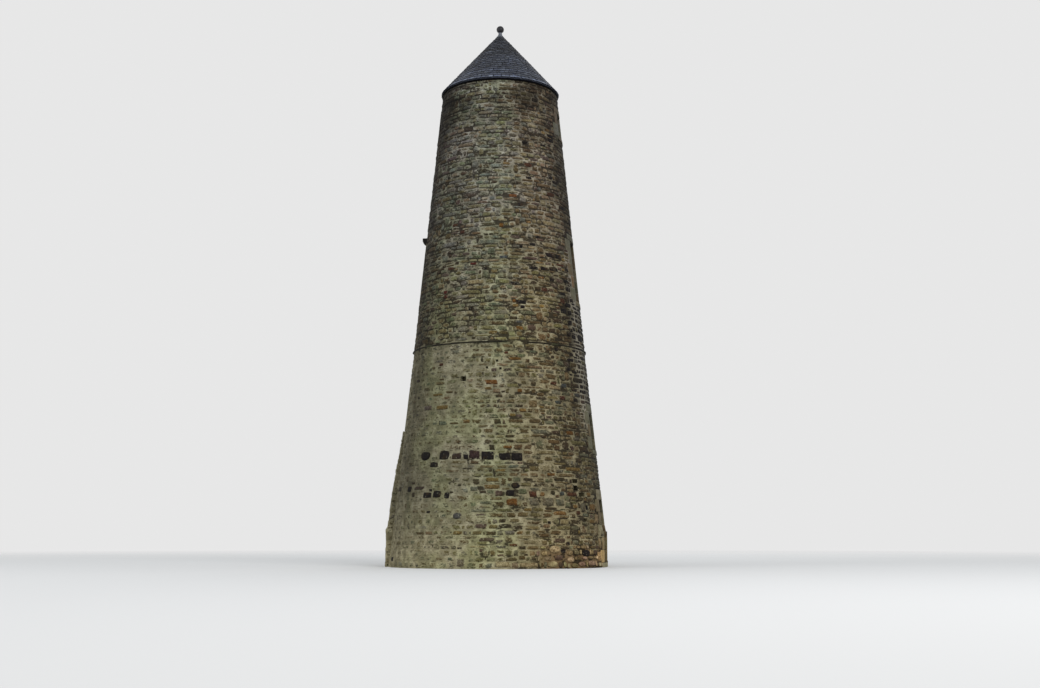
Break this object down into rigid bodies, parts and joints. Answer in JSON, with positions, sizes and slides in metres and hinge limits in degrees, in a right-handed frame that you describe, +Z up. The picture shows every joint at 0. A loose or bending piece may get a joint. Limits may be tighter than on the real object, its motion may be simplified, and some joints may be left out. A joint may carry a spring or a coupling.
{
  "type": "dovecote tower",
  "caption": "Tall tapering round rubble-stone tower with a ledge, dressed openings on two sides and a conical slate roof with a ball finial.",
  "frame": {"origin": "centre of the round base at ground level", "axes": "+Z up; the front faces -Y; the two columns of openings face +X (east) and -X (west)"},
  "size_m": [7.3599, 7.27, 18.7726],
  "materials": {
    "rubble": "weathered rubble in lime mortar",
    "dressed_stone": "tooled sandstone",
    "ledge_stone": "thin split slabs",
    "flagstone": "worn flags",
    "floor_timber": "sawn boards",
    "roof_timber": "sawn softwood",
    "door_paint": "dark stained boards",
    "frame_paint": "dark stained timber",
    "window_glass": "clear",
    "slate": "blue-grey slate",
    "eaves_black": "black paint",
    "lead": "dull grey lead",
    "ball_metal": "dark weathered metal"
  },
  "bodies": {
    "root": {"lower_wall_east": "rubble", "lower_wall_west": "rubble", "lower_wall_back_east": "rubble", "lower_wall_back_west": "rubble", "lower_wall_front_west": "rubble", "lower_wall_front_east": "rubble", "upper_wall_east": "rubble", "upper_wall_west": "rubble", "upper_wall_back_east": "rubble", "upper_wall_back_west": "rubble", "upper_wall_front_west": "rubble", "upper_wall_front_east": "rubble", "ledge_course": "ledge_stone", "ground_floor": "flagstone", "first_floor": "floor_timber", "upper_floor": "floor_timber", "top_floor": "floor_timber", "east_jamb_stones": "dressed_stone", "east_lintels": "dressed_stone", "east_sills": "dressed_stone", "east_door_frames": "frame_paint", "east_ground_door": "door_paint", "east_upper_door": "door_paint", "east_window_frames": "frame_paint", "east_window_glass": "window_glass", "west_jamb_stones": "dressed_stone", "west_lintels": "dressed_stone", "west_sills": "dressed_stone", "west_door_frames": "frame_paint", "west_ground_door": "door_paint", "west_upper_door": "door_paint", "west_window_frames": "frame_paint", "west_window_glass": "window_glass", "west_hood_stone": "dressed_stone", "wall_plate": "roof_timber", "roof_rafters": "roof_timber", "roof_boarding": "roof_timber", "roof_slates": "slate", "eaves_fascia": "eaves_black", "lead_cap": "lead", "ball_finial": "ball_metal"}
  },
  "joints": []
}
